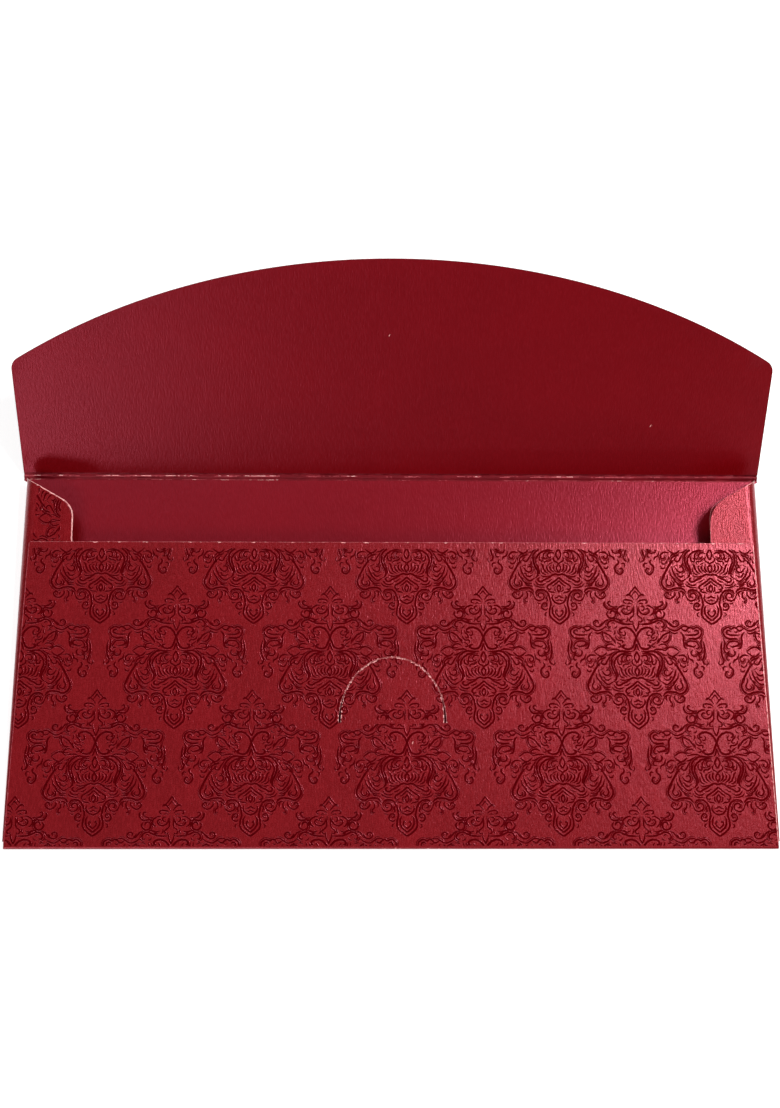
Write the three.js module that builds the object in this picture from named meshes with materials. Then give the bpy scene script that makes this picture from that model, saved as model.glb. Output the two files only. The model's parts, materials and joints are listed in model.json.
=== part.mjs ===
// A gift money envelope, cut and folded from one sheet of pearlescent card.
// It lies on its back panel with the pocket facing up, its mouth gaping and its flap raised.
// Millimetres. +X runs along the width, +Y from the bottom fold towards the flap, and +Z up.
// The origin is at the middle of the back panel's underside.
import * as THREE from "three";

// The card and the room left between its layers
const CARD = 0.25; // thickness of the card
const SEAM_GAP = 0.05; // hairline between two panels of the same sheet, where it bends
const TAB_CLEARANCE = 0.1; // between back panel and side tabs when the pocket is pressed flat
const FLAP_CLEARANCE = 0.15; // between the closed flap and the flattened pocket
const GLUE_GAP = 0.08; // between a side tab and the pocket panel glued on it
const GLUE_THICKNESS = 0.05;

// Back panel
const WIDTH = 180; // between the side folds, measured on the flat card
const BODY_HEIGHT = 89; // from the bottom fold to the flap's first score

// Pocket panel
const POCKET_HEIGHT = 71.5; // from the bottom fold's centre to the mouth
const FOOT_INSET = 0.4; // pocket panel's side inside the fold line, at its foot
const MOUTH_INSET = 3.3; // and at its mouth
const MOUTH_CORNER = 0.8; // radius
const MOUTH_GAPE = 5; // clear height inside the mouth as the envelope lies open

// Side tabs, folded in from the back panel and glued behind the pocket panel
const TAB_WIDTH = 13.45; // from the fold line to the tab's inner edge
const TAB_CORNER = 5; // radius of the inner corners
const TAB_END_SLOPE = Math.tan(THREE.MathUtils.degToRad(30)); // rise of the slanted ends
const TAB_TOP_GAP = 0.5; // from the upper end of the side fold to the flap's first score
const TAB_FOOT_GAP = 1.2; // from the bottom fold to the lower end of the side fold
const GLUE_EDGE = 2; // margin of the glue inside the tab's edges
const GLUE_MOUTH_EDGE = 4; // and below the mouth

// Half-moon tongue that holds the flap's tip
const TONGUE_WIDTH = 25.2;
const TONGUE_HEIGHT = 15.45;
const TONGUE_FOOT = 28.5; // its root above the bottom fold's centre
const SLIT = 0.12; // width of the slit round it

// Flap, beyond its two scores
const FLAP_LENGTH = 56.9; // from the second score to the tip
const FLAP_SIDE = 30.6; // straight side, up to the shoulder
const FLAP_TAPER = 1; // each shoulder stands in by this much
const FLAP_SHOULDER = 2; // radius
const FLAP_ANGLE = THREE.MathUtils.degToRad(49); // rise of the flap, shared by its two scores

// Steps round the curves
const ARCH_STEPS = 56;
const TONGUE_STEPS = 36;
const CORNER_STEPS = 8;
const FOLD_STEPS = 12;

// Inside the flattened pocket lie one tab and its glue, and the folds are as wide as that stack.
const pocketSpace = TAB_CLEARANCE + CARD + GLUE_GAP;
const bottomFoldInside = pocketSpace / 2;
const bottomFoldOutside = bottomFoldInside + CARD;
const bottomFoldY = bottomFoldOutside;
const bottomFoldZ = CARD + bottomFoldInside;
const pocketTilt = Math.asin((MOUTH_GAPE - pocketSpace) / POCKET_HEIGHT);
const tabUnderside = bottomFoldInside - GLUE_GAP - CARD;

// The spine between the flap's scores is as wide as all that the closed flap folds round.
const spineWidth = 3 * CARD + pocketSpace + FLAP_CLEARANCE;

// A side fold's radius grows with the gap between back panel and tab, so the fold is a cone.
const foldGrowth = Math.tan(pocketTilt) / 2;
const foldStart = (TAB_CLEARANCE + CARD) / 2 - foldGrowth * bottomFoldY;

function material(color, roughness, metalness) {
  return new THREE.MeshStandardMaterial({ color, roughness, metalness });
}

const pearlCard = material(0xa52a44, 0.45, 0.1);
const satinCard = material(0x7d1424, 0.55, 0.05);
const foldedCard = material(0x8c1d33, 0.5, 0.05);
const driedGlue = material(0xe6dcc8, 0.4, 0);

function mesh(name, geometry, finish) {
  const made = new THREE.Mesh(geometry, finish);
  made.name = name;
  return made;
}

// Radius of the card's middle layer round a side fold, at a height up the envelope
function foldRadius(y) {
  return foldStart + foldGrowth * y;
}

// The card doesn't stretch, so a wider fold takes its half turn out of the panel's width.
function foldCentreX(y) {
  return WIDTH / 2 - (Math.PI / 2) * foldRadius(y);
}

// Height at which a side fold ends, at an angle round it from its outermost line.
// The slanted cut runs straight on the flat card, so it climbs along the fold to that line.
function foldEndY(lineEnd, slope, angle) {
  const cut = slope * Math.abs(angle);
  return (lineEnd - cut * foldStart) / (1 + cut * foldGrowth);
}

const foldTop = BODY_HEIGHT - TAB_TOP_GAP;
const foldFoot = bottomFoldY + TAB_FOOT_GAP;
const panelFoldTop = foldEndY(foldTop, TAB_END_SLOPE, Math.PI / 2);
const panelFoldFoot = foldEndY(foldFoot, -TAB_END_SLOPE, Math.PI / 2);

// Height on the tilted pocket plane of a height on the back panel
function alongPocket(y) {
  return (y - bottomFoldY) / Math.cos(pocketTilt);
}

// Outline through corners of [x, y, radius], each rounded between its two sides
function roundedShape(corners) {
  const shape = new THREE.Shape();
  corners.forEach(([x, y, radius], i) => {
    const corner = new THREE.Vector2(x, y);
    const [beforeX, beforeY] = corners[(i + corners.length - 1) % corners.length];
    const [afterX, afterY] = corners[(i + 1) % corners.length];
    const enter = new THREE.Vector2(beforeX, beforeY).sub(corner).setLength(radius).add(corner);
    const leave = new THREE.Vector2(afterX, afterY).sub(corner).setLength(radius).add(corner);
    if (i === 0) shape.moveTo(enter.x, enter.y);
    else shape.lineTo(enter.x, enter.y);
    if (radius > 0) shape.quadraticCurveTo(x, y, leave.x, leave.y);
  });
  return shape;
}

function cardPlate(shape, curveSteps, thickness = CARD) {
  const options = { depth: thickness, bevelEnabled: false, curveSegments: curveSteps };
  return new THREE.ExtrudeGeometry(shape, options);
}

// Slants a plate's scored edge back by its thickness on the inner face, which leaves a V-groove
// there, so that two plates can fold square about the line where their outer faces meet.
function mitreEdge(geometry, edgeY, inward) {
  const position = geometry.getAttribute("position");
  for (let i = 0; i < position.count; i += 1) {
    const isOnEdge = Math.abs(position.getY(i) - edgeY) < CARD / 100;
    const isInside = position.getZ(i) > CARD / 2;
    if (isOnEdge && isInside) position.setY(i, edgeY + inward * CARD);
  }
  geometry.computeVertexNormals();
  return geometry;
}

// Closed strip of bent card. pointAt(skin, i, j) gives a point of its inner (0) or outer (1) skin.
function bentStrip(pointAt, across, along) {
  const points = [];
  for (const skin of [0, 1]) {
    for (let j = 0; j <= along; j += 1) {
      for (let i = 0; i <= across; i += 1) points.push(pointAt(skin, i, j));
    }
  }
  const skinSize = (across + 1) * (along + 1);
  const at = (skin, i, j) => skin * skinSize + j * (across + 1) + i;
  const index = [];
  const quad = (a, b, c, d) => index.push(a, b, c, a, c, d);
  for (let j = 0; j < along; j += 1) {
    for (let i = 0; i < across; i += 1) {
      quad(at(1, i, j), at(1, i, j + 1), at(1, i + 1, j + 1), at(1, i + 1, j));
      quad(at(0, i, j), at(0, i + 1, j), at(0, i + 1, j + 1), at(0, i, j + 1));
    }
  }
  for (let i = 0; i < across; i += 1) {
    quad(at(0, i, 0), at(1, i, 0), at(1, i + 1, 0), at(0, i + 1, 0));
    quad(at(0, i, along), at(0, i + 1, along), at(1, i + 1, along), at(1, i, along));
  }
  for (let j = 0; j < along; j += 1) {
    quad(at(0, 0, j), at(0, 0, j + 1), at(1, 0, j + 1), at(1, 0, j));
    quad(at(0, across, j), at(1, across, j), at(1, across, j + 1), at(0, across, j + 1));
  }
  const geometry = new THREE.BufferGeometry().setFromPoints(points);
  geometry.setIndex(index);
  geometry.computeVertexNormals();
  return geometry;
}

// Rectangle with a narrower stretch between the side folds and an ear beside the flap's score
function backPanel() {
  const footX = WIDTH / 2 - FOOT_INSET;
  const halfOutline = [
    [footX, bottomFoldY + SEAM_GAP],
    [footX, panelFoldFoot - SEAM_GAP],
    [foldCentreX(panelFoldFoot) - SEAM_GAP, panelFoldFoot],
    [foldCentreX(panelFoldTop) - SEAM_GAP, panelFoldTop],
    [WIDTH / 2, foldTop],
    [WIDTH / 2, BODY_HEIGHT - SEAM_GAP],
  ];
  const otherHalf = halfOutline.map(([x, y]) => [-x, y]).reverse();
  const outline = [...halfOutline, ...otherHalf].map(([x, y]) => new THREE.Vector2(x, y));
  const shape = new THREE.Shape(outline);
  const geometry = cardPlate(shape, CORNER_STEPS);
  return mesh("back_panel", mitreEdge(geometry, BODY_HEIGHT - SEAM_GAP, -1), satinCard);
}

// Half-round fold that opens from a sharp crease at its foot to a wide gutter beside the mouth
function sideFold(name) {
  const pointAt = (skin, i, j) => {
    const angle = Math.PI * (i / FOLD_STEPS - 1 / 2);
    const footY = foldEndY(foldFoot, -TAB_END_SLOPE, angle);
    const topY = foldEndY(foldTop, TAB_END_SLOPE, angle);
    const y = j === 0 ? footY : topY;
    const middle = foldRadius(y);
    const radius = middle + (skin - 1 / 2) * CARD;
    return new THREE.Vector3(
      foldCentreX(y) + radius * Math.cos(angle),
      y,
      middle + CARD / 2 + radius * Math.sin(angle),
    );
  };
  return mesh(name, bentStrip(pointAt, FOLD_STEPS, 1), foldedCard);
}

// Half-round strip from the back panel up to the foot of the tilted pocket panel
function bottomFold() {
  const sweep = Math.PI - pocketTilt;
  const footX = WIDTH / 2 - FOOT_INSET;
  const pointAt = (skin, i, j) => {
    const angle = (3 * Math.PI) / 2 - (sweep * i) / FOLD_STEPS;
    const radius = skin === 0 ? bottomFoldInside : bottomFoldOutside;
    return new THREE.Vector3(
      j === 0 ? -footX : footX,
      bottomFoldY + radius * Math.cos(angle),
      bottomFoldZ + radius * Math.sin(angle),
    );
  };
  return mesh("bottom_fold", bentStrip(pointAt, FOLD_STEPS, 1), foldedCard);
}

// Panel that tapers towards its mouth, with the half-moon slit cut through it
function pocketPanel() {
  const footX = WIDTH / 2 - FOOT_INSET;
  const mouthX = WIDTH / 2 - MOUTH_INSET;
  const shape = roundedShape([
    [-footX, SEAM_GAP, 0],
    [footX, SEAM_GAP, 0],
    [mouthX, POCKET_HEIGHT, MOUTH_CORNER],
    [-mouthX, POCKET_HEIGHT, MOUTH_CORNER],
  ]);
  shape.holes.push(halfMoon(SLIT / 2, 0));
  const made = mesh("pocket_panel", cardPlate(shape, TONGUE_STEPS), pearlCard);
  made.position.z = bottomFoldInside;
  return made;
}

// Half-ellipse above the tongue's root line, larger all round by a margin
function halfMoon(margin, rootLift) {
  const shape = new THREE.Shape();
  const halfWidth = TONGUE_WIDTH / 2 + margin;
  const height = TONGUE_HEIGHT + margin - rootLift;
  shape.moveTo(halfWidth, TONGUE_FOOT + rootLift);
  shape.absellipse(0, TONGUE_FOOT + rootLift, halfWidth, height, 0, Math.PI, false, 0);
  return shape;
}

function tuckTongue() {
  const made = mesh("tuck_tongue", cardPlate(halfMoon(-SLIT / 2, SEAM_GAP), TONGUE_STEPS), pearlCard);
  made.position.z = bottomFoldInside;
  return made;
}

// Outline of the right tab on the pocket plane, stepped in from its edges by a margin
function tabCorners(margin, topLimit) {
  const innerX = WIDTH / 2 - TAB_WIDTH + margin;
  const outerTopX = foldCentreX(panelFoldTop) - SEAM_GAP - margin;
  const outerFootX = foldCentreX(panelFoldFoot) - SEAM_GAP - margin;
  const outerTopY = alongPocket(panelFoldTop) - margin;
  const outerFootY = alongPocket(panelFoldFoot) + margin;
  const innerTopY = outerTopY - (outerTopX - innerX) * TAB_END_SLOPE;
  const innerFootY = outerFootY + (outerFootX - innerX) * TAB_END_SLOPE;
  const slantedEnd = [
    [outerTopX, outerTopY, 0],
    [innerX, innerTopY, TAB_CORNER],
  ];
  const squareEnd = [
    [outerTopX, topLimit, 0],
    [innerX, topLimit, 0],
  ];
  return [
    [outerFootX, outerFootY, 0],
    ...(topLimit < innerTopY ? squareEnd : slantedEnd),
    [innerX, innerFootY, TAB_CORNER],
  ];
}

function sideTab(name) {
  const shape = roundedShape(tabCorners(0, Infinity));
  const made = mesh(name, cardPlate(shape, CORNER_STEPS), pearlCard);
  made.position.z = tabUnderside;
  return made;
}

function glueSeam(name) {
  const shape = roundedShape(tabCorners(GLUE_EDGE, POCKET_HEIGHT - GLUE_MOUTH_EDGE));
  const made = mesh(name, cardPlate(shape, CORNER_STEPS, GLUE_THICKNESS), driedGlue);
  made.position.z = bottomFoldInside - (GLUE_GAP + GLUE_THICKNESS) / 2;
  return made;
}

// Narrow strip between the two scores, which stands upright when the flap is closed
function flapSpine() {
  const halfWidth = WIDTH / 2;
  const shape = roundedShape([
    [-halfWidth, SEAM_GAP, 0],
    [halfWidth, SEAM_GAP, 0],
    [halfWidth, spineWidth - SEAM_GAP, 0],
    [-halfWidth, spineWidth - SEAM_GAP, 0],
  ]);
  const geometry = mitreEdge(cardPlate(shape, CORNER_STEPS), SEAM_GAP, 1);
  return mesh("flap_spine", mitreEdge(geometry, spineWidth - SEAM_GAP, -1), foldedCard);
}

// Flap with straight tapered sides, rounded shoulders and one shallow arch up to its tip
function closureFlap() {
  const halfRoot = WIDTH / 2;
  const halfShoulder = halfRoot - FLAP_TAPER;
  const archRise = FLAP_LENGTH - FLAP_SIDE;
  const archRadius = (halfShoulder ** 2 + archRise ** 2) / (2 * archRise);
  const halfSweep = Math.asin(halfShoulder / archRadius) - FLAP_SHOULDER / archRadius;
  const archStartX = archRadius * Math.sin(halfSweep);
  const archStartY = FLAP_LENGTH - archRadius * (1 - Math.cos(halfSweep));
  const sideShare = 1 - FLAP_SHOULDER / FLAP_SIDE;
  const sideEndX = halfRoot - FLAP_TAPER * sideShare;
  const sideEndY = FLAP_SIDE * sideShare;
  const archFrom = Math.PI / 2 - halfSweep;
  const archTo = Math.PI / 2 + halfSweep;
  const shape = new THREE.Shape();
  shape.moveTo(-halfRoot, SEAM_GAP);
  shape.lineTo(halfRoot, SEAM_GAP);
  shape.lineTo(sideEndX, sideEndY);
  shape.quadraticCurveTo(halfShoulder, FLAP_SIDE, archStartX, archStartY);
  shape.absarc(0, FLAP_LENGTH - archRadius, archRadius, archFrom, archTo, false);
  shape.quadraticCurveTo(-halfShoulder, FLAP_SIDE, -sideEndX, sideEndY);
  const geometry = cardPlate(shape, ARCH_STEPS);
  return mesh("closure_flap", mitreEdge(geometry, SEAM_GAP, 1), satinCard);
}

const envelope = new THREE.Group();
envelope.position.y = -BODY_HEIGHT / 2;
envelope.add(backPanel(), bottomFold());

const pocket = new THREE.Group();
pocket.position.set(0, bottomFoldY, bottomFoldZ);
pocket.rotation.x = pocketTilt;
pocket.add(pocketPanel(), tuckTongue());
envelope.add(pocket);

for (const [side, mirror] of [["left", -1], ["right", 1]]) {
  const fold = sideFold(`side_fold_${side}`);
  const tab = sideTab(`side_tab_${side}`);
  const glue = glueSeam(`glue_seam_${side}`);
  for (const piece of [fold, tab, glue]) piece.scale.x = mirror;
  envelope.add(fold);
  pocket.add(tab, glue);
}

const spine = new THREE.Group();
spine.position.y = BODY_HEIGHT;
spine.rotation.x = FLAP_ANGLE / 2;
spine.add(flapSpine());
envelope.add(spine);

const flap = new THREE.Group();
flap.position.y = spineWidth;
flap.rotation.x = FLAP_ANGLE / 2;
flap.add(closureFlap());
spine.add(flap);

const part = new THREE.Group();
part.add(envelope);
export default part;
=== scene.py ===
"""Looks of a gift money envelope, folded from one sheet of pearlescent red card.

The panels are finer copies of the frame's solids with worn, pale cut edges.
The folds bend between their two panels, and the printed damask is raised ink on the outer face.
Lengths are millimetres in the flat panels' own planes, unless a name or comment says otherwise.
"""

import json
import math
from collections import namedtuple

import bmesh
import bpy
from mathutils import Matrix, Vector, noise


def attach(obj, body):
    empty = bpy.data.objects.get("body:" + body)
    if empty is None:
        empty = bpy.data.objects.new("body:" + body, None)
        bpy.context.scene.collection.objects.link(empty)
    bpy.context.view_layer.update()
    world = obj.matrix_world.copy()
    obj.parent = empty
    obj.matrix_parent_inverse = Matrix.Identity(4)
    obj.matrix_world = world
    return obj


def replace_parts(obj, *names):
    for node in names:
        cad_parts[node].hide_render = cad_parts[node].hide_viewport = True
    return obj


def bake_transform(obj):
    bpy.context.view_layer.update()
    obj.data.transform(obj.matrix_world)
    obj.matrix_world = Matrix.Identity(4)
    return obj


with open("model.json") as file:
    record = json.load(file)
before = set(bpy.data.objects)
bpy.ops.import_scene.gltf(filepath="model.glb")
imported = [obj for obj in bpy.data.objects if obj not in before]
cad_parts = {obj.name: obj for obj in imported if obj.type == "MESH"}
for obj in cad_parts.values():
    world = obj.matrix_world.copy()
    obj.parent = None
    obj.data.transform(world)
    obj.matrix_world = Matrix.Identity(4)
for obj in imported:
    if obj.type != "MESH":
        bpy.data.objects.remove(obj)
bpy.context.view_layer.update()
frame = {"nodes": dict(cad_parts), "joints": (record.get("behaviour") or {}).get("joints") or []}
nodes = frame["nodes"]
joint_at = {joint["name"]: Vector(joint["pos_m"]) for joint in frame["joints"]}

MM = 0.001  # metres

# The folded card, as in the frame
CARD = 0.25
SEAM_GAP = 0.05
WIDTH = 180
BODY_HEIGHT = 89
POCKET_HEIGHT = 71.5
POCKET_SPACE = 0.43
FOOT_INSET = 0.4
MOUTH_INSET = 3.3
MOUTH_CORNER = 0.8
MOUTH_GAPE = 5
TAB_CLEARANCE = 0.1
TAB_WIDTH = 13.45
TAB_CORNER = 5
TAB_END_SLOPE = math.tan(math.radians(30))
TAB_TOP_GAP = 0.5
TAB_FOOT_GAP = 1.2
TONGUE_WIDTH = 25.2
TONGUE_HEIGHT = 15.45
TONGUE_FOOT = 28.5
FLAP_LENGTH = 56.9
FLAP_SIDE = 30.6
FLAP_TAPER = 1

# Camera of the photograph, fitted to the envelope's corners
CAMERA_DISTANCE = 345.17
CAMERA_SHIFT = Vector((0.53, -25.03, 0))
CAMERA_PITCH = math.radians(-13.51)
CAMERA_YAW = math.radians(0.85)
CAMERA_ROLL = math.radians(-0.15)
FOCAL_PIXELS = 1446.67
PHOTO_HEIGHT = 1108
SENSOR = 36

pocket_tilt = math.asin((MOUTH_GAPE - POCKET_SPACE) / POCKET_HEIGHT)
spine_vector = joint_at["flap_fold"] - joint_at["spine_fold"]
spine_angle = math.atan2(spine_vector.z, spine_vector.y)
spine_width = spine_vector.length / MM
pocket_underside = POCKET_SPACE / 2
pocket_face = pocket_underside + CARD
bottom_fold_y = pocket_face
tab_face = pocket_underside - (POCKET_SPACE - TAB_CLEARANCE - CARD)


def plane_at(origin, angle=0.0):
    """Matrix from a panel's own millimetres to the frame's metres."""
    return Matrix.Translation(origin) @ Matrix.Rotation(angle, 4, "X") @ Matrix.Scale(MM, 4)


back_plane = plane_at(Vector((0, -BODY_HEIGHT / 2 * MM, 0)))
pocket_plane = plane_at(joint_at["pocket_gape"], pocket_tilt)
score_plane = plane_at(joint_at["spine_fold"])
second_score_plane = plane_at(joint_at["flap_fold"], spine_angle)
flap_plane = plane_at(joint_at["flap_fold"], 2 * spine_angle)

# A panel's body, its plane, which waviness it has and the height of its upper face
Panel = namedtuple("Panel", "body plane wave top")
BACK = Panel("back", back_plane, "back", CARD)
POCKET = Panel("pocket", pocket_plane, "pocket", pocket_face)
TONGUE = Panel("tongue", pocket_plane, "pocket", pocket_face)
TAB = Panel("pocket", pocket_plane, "pocket", tab_face)
FLAP = Panel("flap", flap_plane, "flap", CARD)


# Materials


def set_inputs(tree, node, **values):
    """Links or sets a node's inputs. An underscore in a name stands for a space."""
    for name, value in values.items():
        socket = node.inputs[name.replace("_", " ")]
        if isinstance(value, bpy.types.NodeSocket):
            tree.links.new(value, socket)
        else:
            socket.default_value = value


def add_node(tree, kind, **values):
    """New shader node of a kind, with its inputs linked or set."""
    node = tree.nodes.new(f"ShaderNode{kind}")
    set_inputs(tree, node, **values)
    return node


class Shader:
    """A material's node tree, with short calls for the nodes that repeat."""

    def __init__(self, name):
        self.material = bpy.data.materials.new(name)
        self.material.use_nodes = True
        self.tree = self.material.node_tree
        self.position = add_node(self.tree, "TexCoord").outputs["Object"]

    def noise(self, cell, stretch=(1, 1, 1), detail=3.0, roughness=0.5):
        """Noise with cells of that many millimetres, stretched along the axes."""
        scale = [1 / (cell * MM * s) for s in stretch]
        place = add_node(self.tree, "Mapping", Vector=self.position, Scale=scale).outputs["Vector"]
        texture = add_node(
            self.tree, "TexNoise", Vector=place, Scale=1, Detail=detail, Roughness=roughness
        )
        return texture.outputs["Fac"]

    def ramp(self, factor, *stops):
        """Colours along a factor, as (place, colour) stops."""
        made = add_node(self.tree, "ValToRGB", Fac=factor)
        elements = made.color_ramp.elements
        while len(elements) < len(stops):
            elements.new(0.5)
        for element, (place, colour) in zip(elements, stops):
            element.position = place
            element.color = (*colour, 1)
        return made.outputs["Color"]

    def mask(self, factor, low, high, strength=1.0):
        """Grey from 0 at low to the strength at high."""
        return self.ramp(factor, (low, (0, 0, 0)), (high, (strength,) * 3))

    def mix(self, factor, under, over):
        """The linked colour under it where the factor is 0, and the plain one where it is 1."""
        made = add_node(self.tree, "Mix", Factor=factor)
        made.data_type = "RGBA"
        self.tree.links.new(under, made.inputs[6])
        made.inputs[7].default_value = (*over, 1)
        return made.outputs[2]

    def grade(self, factor, low, high):
        """Number that runs from low to high with a factor."""
        made = add_node(self.tree, "MapRange", Value=factor, To_Min=low, To_Max=high)
        return made.outputs["Result"]

    def bump(self, height, depth, strength=1.0, under=None):
        """Normal bent by a height map of that many millimetres, on top of another one."""
        made = add_node(self.tree, "Bump", Height=height, Distance=depth * MM, Strength=strength)
        if under is not None:
            self.tree.links.new(under, made.inputs["Normal"])
        return made.outputs["Normal"]

    def finish(self, **values):
        """Links or sets the surface's inputs, and returns the material."""
        set_inputs(self.tree, self.tree.nodes["Principled BSDF"], **values)
        return self.material


def pearl_card(name="pearl_card", ior=1.7):
    """Outer face: deep red under a pink pearl sheen with a fine vertical grain. The IOR sets the sheen."""
    shader = Shader(name)
    grain = shader.noise(0.3, stretch=(1, 4, 4), detail=4)
    speckle = shader.noise(0.22, detail=2)
    cloud = shader.noise(22, detail=4, roughness=0.6)
    red = shader.ramp(cloud, (0.3, (0.16, 0.0018, 0.003)), (0.7, (0.2, 0.003, 0.005)))
    ripple = shader.bump(cloud, 0.2, 0.3)
    streak = shader.bump(grain, 0.08, 0.9, ripple)
    return shader.finish(
        Base_Color=shader.mix(shader.mask(grain, 0.45, 0.7, 0.5), red, (0.3, 0.012, 0.017)),
        Metallic=0.1,
        Roughness=shader.grade(speckle, 0.22, 0.34),
        Normal=shader.bump(speckle, 0.02, 0.7, streak),
        IOR=ior,
        Specular_Tint=(1.0, 0.31, 0.4, 1),
    )


def satin_card():
    """Inner face: the same red, smoother, with a grain that only the sheen brings out."""
    shader = Shader("satin_card")
    cloud = shader.noise(32, stretch=(1.6, 1, 1), detail=5, roughness=0.6)
    fibre = shader.noise(0.3, stretch=(1, 4.5, 4.5), detail=4)
    ripple = shader.bump(cloud, 0.3, 0.35)
    red = shader.ramp(cloud, (0.3, (0.146, 0.0003, 0.0012)), (0.7, (0.18, 0.0007, 0.0022)))
    return shader.finish(
        Base_Color=shader.mix(shader.mask(fibre, 0.48, 0.72, 0.25), red, (0.24, 0.004, 0.009)),
        Metallic=0.1,
        Roughness=shader.grade(fibre, 0.26, 0.36),
        Normal=shader.bump(fibre, 0.06, 0.85, ripple),
        IOR=1.72,
        Specular_Tint=(1.0, 0.2, 0.33, 1),
    )


def fold_card():
    """Card round a score and along the flap's cut edge: a darker red that is painted shade of the crease and
    the edge, with hairline cracks where the card is stretched.
    """
    shader = Shader("fold_card")
    crack = shader.noise(0.6, stretch=(6, 1, 1), detail=5, roughness=0.7)
    wear = shader.noise(2.4, detail=4, roughness=0.7)
    red = shader.ramp(wear, (0.35, (0.105, 0.0012, 0.004)), (0.7, (0.17, 0.0035, 0.009)))
    return shader.finish(
        Base_Color=shader.mix(shader.mask(crack, 0.64, 0.74, 0.4), red, (0.36, 0.06, 0.08)),
        Metallic=0.1,
        Roughness=shader.grade(wear, 0.36, 0.52),
        Normal=shader.bump(crack, 0.03, 0.6),
        Specular_Tint=(1.0, 0.3, 0.36, 1),
    )


def card_core():
    """Pale pink fibre where the card is cut, cracked or scuffed through."""
    shader = Shader("card_core")
    fibre = shader.noise(0.28, stretch=(3, 3, 1), detail=5, roughness=0.7)
    blotch = shader.noise(1.1, detail=3)
    pale = shader.ramp(fibre, (0.3, (0.7, 0.21, 0.21)), (0.62, (0.98, 0.52, 0.5)))
    return shader.finish(
        Base_Color=shader.mix(shader.mask(blotch, 0.5, 0.72, 0.6), pale, (0.36, 0.045, 0.06)),
        Roughness=0.85,
        Normal=shader.bump(fibre, 0.03, 0.8),
        Specular_Tint=(1.0, 0.6, 0.6, 1),
    )


def scuffed_card():
    """Red face rubbed pink along an edge, with paler flecks."""
    shader = Shader("scuffed_card")
    fleck = shader.noise(0.5, stretch=(2, 2, 1), detail=4, roughness=0.7)
    pink = shader.ramp(fleck, (0.35, (0.24, 0.014, 0.024)), (0.62, (0.42, 0.075, 0.09)))
    return shader.finish(
        Base_Color=shader.mix(shader.mask(fleck, 0.62, 0.72, 0.7), pink, (0.75, 0.33, 0.32)),
        Roughness=0.6,
        Normal=shader.bump(fleck, 0.02, 0.6),
        Specular_Tint=(1.0, 0.4, 0.45, 1),
    )


def damask_ink():
    """Dark maroon ink that stands a little proud of the card and shines softly."""
    shader = Shader("damask_ink")
    blotch = shader.noise(1.4, detail=3)
    return shader.finish(
        Base_Color=shader.ramp(blotch, (0.3, (0.058, 0.0001, 0.0008)), (0.7, (0.088, 0.0003, 0.0018))),
        Roughness=shader.grade(blotch, 0.36, 0.5),
        Normal=shader.bump(shader.noise(0.33), 0.01, 0.4),
        Specular_IOR_Level=0.12,
        Specular_Tint=(1.0, 0.06, 0.12, 1),
    )


def dried_glue():
    """Thin milky glue line."""
    shader = Shader("dried_glue")
    ripple = shader.noise(2, detail=3)
    return shader.finish(
        Base_Color=shader.ramp(ripple, (0.3, (0.55, 0.48, 0.38)), (0.7, (0.72, 0.66, 0.55))),
        Roughness=shader.grade(ripple, 0.3, 0.5),
        Normal=shader.bump(ripple, 0.03, 0.6),
    )


PEARL = pearl_card()
# Copy of the pearl card with a weaker sheen for the tabs: painted shade that keeps the key light's highlight
# on them dimmer than on the pocket.
TAB_PEARL = pearl_card("tab_pearl_card", 1.52)
SATIN = satin_card()
CREASE_AND_EDGE_SHADE = fold_card()
CORE = card_core()
SCUFFED = scuffed_card()
INK = damask_ink()
GLUE = dried_glue()


# Meshes

WAVE_HEIGHT = 0.03
WAVE_LENGTHS = (38, 26)
WAVE_FADE = 10
WAVE_SEEDS = {"back": 3.1, "pocket": 12.7, "flap": 29.3}
WORN_ROUND = 0.05  # radius that wear gives to a cut edge
FINE_CELL = 3.0


def ramp_up(value):
    """Smooth step from 0 to 1 as the value goes from 0 to 1."""
    t = max(0.0, min(1.0, value))
    return t * t * (3 - 2 * t)


def make_object(name, mesh, plane, materials, smooth_degrees):
    """New object from a mesh in a plane's millimetres, shaded smooth below an angle."""
    mesh.transform(plane)
    mesh.shade_smooth()
    mesh.set_sharp_from_angle(angle=math.radians(smooth_degrees))
    for material in materials:
        mesh.materials.append(material)
    piece = bpy.data.objects.new(name, mesh)
    bpy.context.scene.collection.objects.link(piece)
    return piece


def panel_piece(name, mesh, panel, materials, smooth_degrees):
    """New object that moves with its panel."""
    piece = make_object(name, mesh, panel.plane, materials, smooth_degrees)
    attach(piece, panel.body)
    return piece


def ripple_at(x, y, wave):
    """Slight waviness of a panel, which dies out towards its folds."""
    fade = ramp_up((WIDTH / 2 - 3 - abs(x)) / WAVE_FADE) * ramp_up((y - 1) / WAVE_FADE)
    if wave == "back":
        fade *= ramp_up((BODY_HEIGHT - 1 - y) / WAVE_FADE)
    place = Vector((x / WAVE_LENGTHS[0], y / WAVE_LENGTHS[1], WAVE_SEEDS[wave]))
    return WAVE_HEIGHT * fade * noise.noise(place)


def cut_in_cells(bm, size):
    """Cuts the mesh along a grid of lines, so that its flat faces gain points inside."""
    for axis in (0, 1):
        low = min(vertex.co[axis] for vertex in bm.verts)
        high = max(vertex.co[axis] for vertex in bm.verts)
        normal = Vector((axis == 0, axis == 1, 0))
        count = max(1, round((high - low) / size))
        for k in range(1, count):
            place = normal * (low + (high - low) * k / count)
            geometry = [*bm.verts, *bm.edges, *bm.faces]
            bmesh.ops.bisect_plane(bm, geom=geometry, dist=1e-4, plane_co=place, plane_no=normal)


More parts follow.
